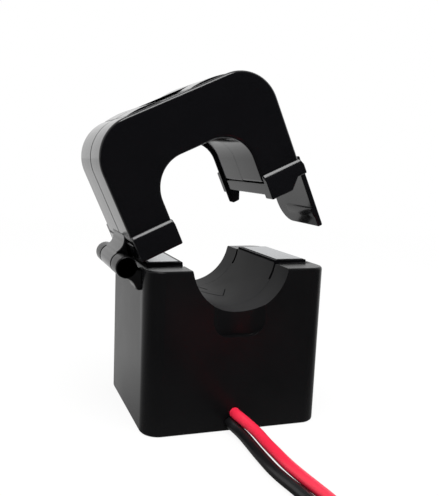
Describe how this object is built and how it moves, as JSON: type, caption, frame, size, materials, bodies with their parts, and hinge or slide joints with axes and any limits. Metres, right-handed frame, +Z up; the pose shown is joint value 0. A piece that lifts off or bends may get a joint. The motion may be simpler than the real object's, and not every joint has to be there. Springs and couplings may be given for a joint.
{
  "type": "split-core current transformer",
  "caption": "Split-core current transformer: a potted black case with a half-round saddle, a hinged jaw with a cut core, and a red and a black lead.",
  "frame": {"origin": "centre of the case's underside", "axes": "+X to the latch side, +Y to the rear, +Z up; the leads leave the front face along -Y; the jaw stands open as stored"},
  "size_m": [0.0756, 0.1208, 0.0842],
  "materials": {
    "case_plastic": "fine moulded satin, black",
    "core_steel": "ground pole faces, laminated",
    "former_nylon": "moulded, natural",
    "copper": "enamelled copper wire",
    "polyester_tape": "smooth film",
    "potting_resin": "cast",
    "clamp_rubber": "moulded",
    "red_pvc": "extruded, semi-gloss",
    "black_pvc": "extruded, semi-gloss",
    "shrink_sleeve": "shrunk film",
    "pin_steel": "drawn",
    "spring_steel": "rolled",
    "tinned_copper": "solder tinned strands",
    "tie_nylon": "moulded"
  },
  "bodies": {
    "base": {"lower_case": "case_plastic", "cradle": "case_plastic", "lower_core": "core_steel", "former_upper": "former_nylon", "former_lower": "former_nylon", "secondary_winding": "copper", "winding_tape": "polyester_tape", "resin_bed": "potting_resin", "lead_clamp": "clamp_rubber", "red_lead_root": "red_pvc", "black_lead_root": "black_pvc", "red_joint_sleeve": "shrink_sleeve", "black_joint_sleeve": "shrink_sleeve", "hinge_pin": "pin_steel", "red_lead": "red_pvc", "black_lead": "black_pvc", "red_lead_coil": "red_pvc", "black_lead_coil": "black_pvc", "red_lead_end": "tinned_copper", "black_lead_end": "tinned_copper", "red_coil_tie": "tie_nylon", "black_coil_tie": "tie_nylon"},
    "jaw": {"jaw_front_shell": "case_plastic", "jaw_rear_shell": "case_plastic", "upper_core": "core_steel", "core_spring": "spring_steel", "hinge_foot": "case_plastic", "latch_foot": "case_plastic"}
  },
  "joints": [
    {"name": "jaw_hinge", "type": "hinge", "parent": "base", "child": "jaw", "pos_m": [-0.0258, 0, 0.039], "axis": [0, -1, 0], "range_deg": [-24.5, 85.5]}
  ]
}
